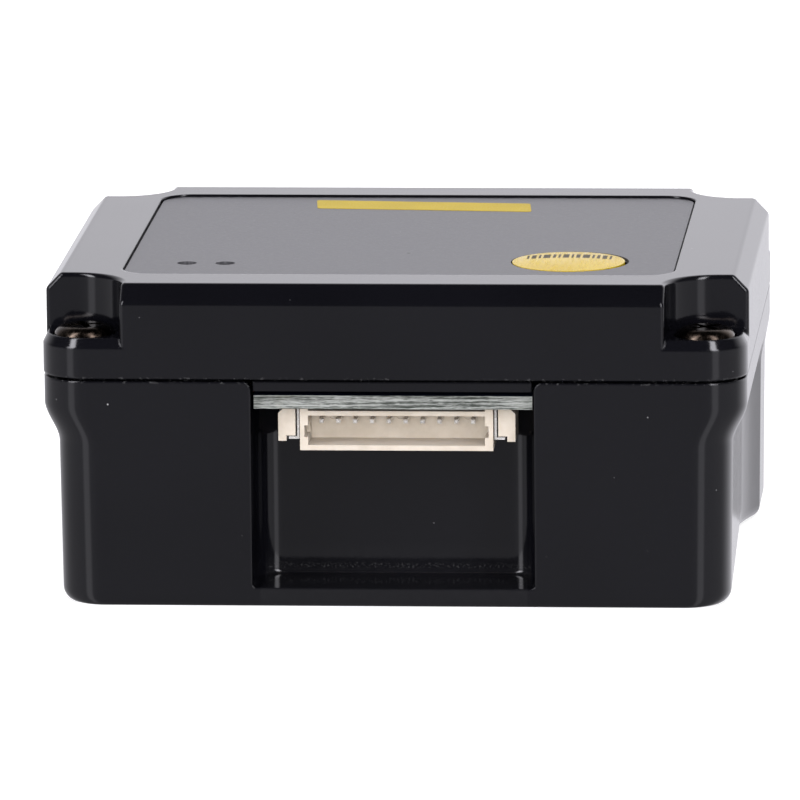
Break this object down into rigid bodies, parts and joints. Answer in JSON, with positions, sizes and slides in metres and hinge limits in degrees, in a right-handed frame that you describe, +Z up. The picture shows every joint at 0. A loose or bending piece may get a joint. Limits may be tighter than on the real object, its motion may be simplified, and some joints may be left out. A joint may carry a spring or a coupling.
{
  "type": "fixed-mount laser barcode scanner module",
  "caption": "Small two-piece black housing with a side-entry cable header, a round scan button, indicator holes, a front scan window and an oscillating-mirror line scanner inside.",
  "frame": {"origin": "centre of the housing's footprint, on the bottom face", "axes": "+X across the module, to the right as seen from the connector side; +Y from the connector face towards the scan window; +Z up through the labelled cover"},
  "size_m": [0.0522, 0.046, 0.0241],
  "materials": {
    "black_abs": "polished moulded black plastic",
    "black_abs_cover": "polished moulded black plastic",
    "label_film": "fine-textured dark grey film",
    "yellow_ink": "printed yellow",
    "yellow_button": "smooth yellow cap",
    "switch_black": "moulded",
    "switch_plunger": "moulded",
    "clear_plastic": "clear moulded",
    "led_body": "white chip package",
    "bronze_steel": "dark bronze passivated steel",
    "zinc_steel": "zinc plated",
    "insert_brass": "turned",
    "board_laminate": "dark solder mask over glass-fibre laminate",
    "chip_epoxy": "moulded epoxy",
    "ceramic": "ceramic chip",
    "ivory_nylon": "natural nylon",
    "tinned_metal": "tin plated",
    "foam_tape": "black foam tape",
    "red_acrylic": "polished dark red acrylic",
    "cast_chassis": "die-cast zinc, as cast",
    "diode_can": "gold plated",
    "ground_steel": "ground",
    "carrier_plastic": "moulded",
    "front_mirror": "front-surface mirror",
    "magnet_plating": "nickel plated",
    "copper_winding": "enamelled copper wire"
  },
  "bodies": {
    "housing": {"base_housing": "black_abs", "top_cover": "black_abs_cover", "label_overlay": "label_film", "label_stripe": "yellow_ink", "switch_body": "switch_black", "light_pipes": "clear_plastic", "indicator_leds": "led_body", "cover_screws": "bronze_steel", "board_screws": "zinc_steel", "engine_screws": "zinc_steel", "mount_inserts": "insert_brass", "main_board": "board_laminate", "board_chips": "chip_epoxy", "board_capacitors": "ceramic", "buzzer": "chip_epoxy", "connector_housing": "ivory_nylon", "connector_pins": "tinned_metal", "connector_nails": "tinned_metal", "window_tape": "foam_tape", "scan_window": "red_acrylic", "engine_chassis": "cast_chassis", "laser_barrel": "insert_brass", "laser_diode": "diode_can", "collimator_lens": "clear_plastic", "laser_board": "board_laminate", "receiver_board": "board_laminate", "link_pins": "tinned_metal", "photodiode": "chip_epoxy", "optical_filter": "red_acrylic", "mirror_pivot": "ground_steel", "coil_bobbin": "carrier_plastic", "drive_coil": "copper_winding"},
    "button": {"scan_button": "yellow_button", "switch_plunger": "switch_plunger"},
    "mirror": {"mirror_carrier": "carrier_plastic", "scan_mirror": "front_mirror", "mirror_magnet": "magnet_plating"}
  },
  "joints": [
    {"name": "button_press", "type": "slide", "parent": "housing", "child": "button", "axis": [0, 0, -1], "range_m": [0, 0.0003], "stiffness_N_per_m": 800},
    {"name": "mirror_swing", "type": "hinge", "parent": "housing", "child": "mirror", "pos_m": [0, 0.004, 0.008], "axis": [0, 0, 1], "range_deg": [-12, 12], "stiffness_Nm_per_rad": 0.001}
  ]
}
